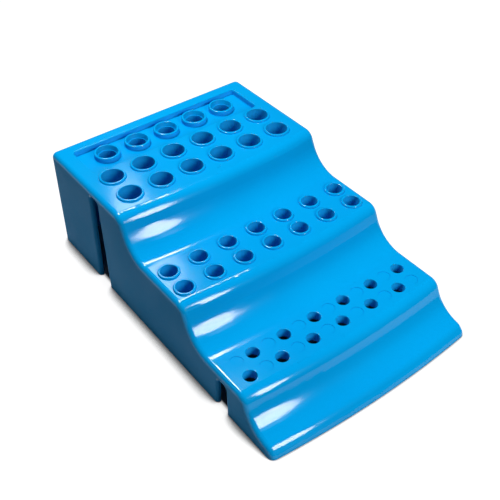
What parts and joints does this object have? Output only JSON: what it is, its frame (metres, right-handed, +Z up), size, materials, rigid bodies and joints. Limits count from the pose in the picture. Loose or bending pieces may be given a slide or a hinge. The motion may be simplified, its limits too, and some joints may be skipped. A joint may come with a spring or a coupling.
{
  "type": "microcentrifuge tube rack",
  "caption": "Stepped bench rack with rows of round sockets for small laboratory tubes, moulded as one hollow shell.",
  "frame": {"origin": "middle of the footprint's box, on the bench", "axes": "+Z up, +Y towards the tall back tier, +X along the rows"},
  "size_m": [0.1206, 0.1892, 0.0591],
  "materials": {
    "body": "glossy, moulded"
  },
  "bodies": {
    "root": {"rack_body": "body"}
  },
  "joints": []
}
